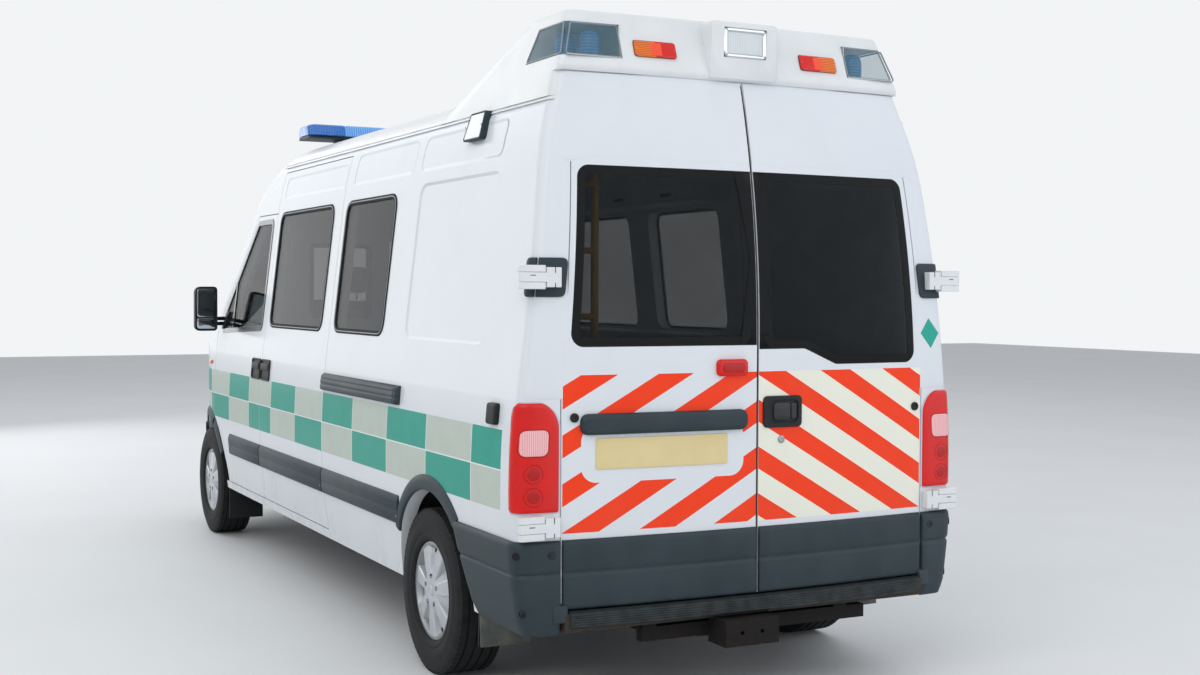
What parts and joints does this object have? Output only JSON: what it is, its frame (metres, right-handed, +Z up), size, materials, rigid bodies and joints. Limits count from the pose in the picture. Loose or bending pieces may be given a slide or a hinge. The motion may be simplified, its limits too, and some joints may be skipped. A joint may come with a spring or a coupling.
{
  "type": "high-roof panel van ambulance",
  "caption": "High-roof panel van converted to an ambulance, with opening cab and rear doors, bonnet, turning wheels and steering.",
  "frame": {"origin": "ground level under the middle of the overall length and width", "axes": "+X forward, +Y to the vehicle's left, +Z up"},
  "size_m": [5.999, 2.3506, 2.655],
  "materials": {
    "white_paint": "gloss",
    "white_moulding": "gloss",
    "glass": "polished",
    "grey_plastic": "grained",
    "black_plastic": "grained",
    "tyre": "matt",
    "silver": "satin",
    "lens_blue": "polished",
    "lens_red": "polished",
    "lens_clear": "polished",
    "chassis_black": "satin",
    "cast": "rough",
    "steel": "satin",
    "aluminium": "satin",
    "seat_cloth": "woven",
    "vinyl": "smooth",
    "yellow_paint": "gloss"
  },
  "bodies": {
    "body": {"floor_pan": "chassis_black", "side_panel_left": "white_paint", "side_panel_right": "white_paint", "roof_panel": "white_paint", "cab_shell": "white_paint", "sliding_door": "white_paint", "roof_pod": "white_moulding", "blue_lamps": "lens_blue", "roof_lamps": "lens_clear", "windscreen": "glass", "side_windows": "glass", "front_bumper": "grey_plastic", "grille": "black_plastic", "headlamps": "lens_clear", "tail_lamps": "lens_red", "rear_bumper": "grey_plastic", "rear_step": "aluminium", "tow_bar": "steel", "side_mouldings": "grey_plastic", "wheel_arch_liners": "black_plastic", "cowl_panel": "black_plastic", "radiator_support": "black_plastic", "engine": "cast", "front_suspension": "chassis_black", "rear_axle": "chassis_black", "fuel_tank": "black_plastic", "exhaust": "steel", "spare_wheel": "tyre", "dashboard": "black_plastic", "cab_seats": "seat_cloth", "bulkhead": "white_moulding", "lockers": "white_moulding", "stretcher": "steel", "stretcher_mattress": "vinyl", "rear_seat": "vinyl", "grab_rails": "yellow_paint"},
    "bonnet": {"bonnet": "white_paint"},
    "steering_wheel": {"steering_wheel": "black_plastic"},
    "front_door_left": {"front_door_left": "white_paint", "front_door_glass_left": "glass", "front_door_fittings_left": "black_plastic"},
    "rear_door_left": {"rear_door_left": "white_paint", "rear_glass_left": "glass", "rear_door_trim_left": "grey_plastic"},
    "knuckle_left": {"knuckle_left": "cast"},
    "wheel_front_left": {"tyre_front_left": "tyre", "wheel_front_left": "silver"},
    "wheel_rear_left": {"tyre_rear_left": "tyre", "wheel_rear_left": "silver"},
    "front_door_right": {"front_door_right": "white_paint", "front_door_glass_right": "glass", "front_door_fittings_right": "black_plastic"},
    "rear_door_right": {"rear_door_right": "white_paint", "rear_glass_right": "glass", "rear_door_trim_right": "grey_plastic"},
    "knuckle_right": {"knuckle_right": "cast"},
    "wheel_front_right": {"tyre_front_right": "tyre", "wheel_front_right": "silver"},
    "wheel_rear_right": {"tyre_rear_right": "tyre", "wheel_rear_right": "silver"}
  },
  "joints": [
    {"name": "front_door_left_hinge", "type": "hinge", "parent": "body", "child": "front_door_left", "pos_m": [1.9195, 1, 0.9], "axis": [0, 0, -1], "range_deg": [0, 68]},
    {"name": "rear_door_left_hinge", "type": "hinge", "parent": "body", "child": "rear_door_left", "pos_m": [-2.9085, 0.984, 1.2], "axis": [0, 0, -1], "range_deg": [0, 180]},
    {"name": "steer_left", "type": "hinge", "parent": "body", "child": "knuckle_left", "pos_m": [2.1415, 0.78, 0.345], "axis": [0, -0.2504, 0.9681], "range_deg": [-33, 33]},
    {"name": "spin_front_left", "type": "hinge", "parent": "knuckle_left", "child": "wheel_front_left", "pos_m": [2.1415, 0.866, 0.345], "axis": [0, 1, 0], "continuous": true},
    {"name": "spin_rear_left", "type": "hinge", "parent": "body", "child": "wheel_rear_left", "pos_m": [-1.9365, 0.866, 0.345], "axis": [0, 1, 0], "continuous": true},
    {"name": "front_door_right_hinge", "type": "hinge", "parent": "body", "child": "front_door_right", "pos_m": [1.9195, -1, 0.9], "axis": [0, 0, 1], "range_deg": [0, 68]},
    {"name": "rear_door_right_hinge", "type": "hinge", "parent": "body", "child": "rear_door_right", "pos_m": [-2.9085, -0.984, 1.2], "axis": [0, 0, 1], "range_deg": [0, 180]},
    {"name": "steer_right", "type": "hinge", "parent": "body", "child": "knuckle_right", "pos_m": [2.1415, -0.78, 0.345], "axis": [0, 0.2504, 0.9681], "range_deg": [-33, 33]},
    {"name": "spin_front_right", "type": "hinge", "parent": "knuckle_right", "child": "wheel_front_right", "pos_m": [2.1415, -0.866, 0.345], "axis": [0, 1, 0], "continuous": true},
    {"name": "spin_rear_right", "type": "hinge", "parent": "body", "child": "wheel_rear_right", "pos_m": [-1.9365, -0.866, 0.345], "axis": [0, 1, 0], "continuous": true},
    {"name": "bonnet_hinge", "type": "hinge", "parent": "body", "child": "bonnet", "pos_m": [2.4015, 0, 1.314], "axis": [0, -1, 0], "range_deg": [0, 55]},
    {"name": "steering_wheel_turn", "type": "hinge", "parent": "body", "child": "steering_wheel", "pos_m": [1.5415, -0.43, 1.215], "axis": [-0.5, 0, 0.866], "range_deg": [-540, 540]}
  ],
  "couplings": [
    {"joint": "steer_right", "follows": "steer_left", "ratio": 1},
    {"joint": "steering_wheel_turn", "follows": "steer_left", "ratio": 16}
  ]
}
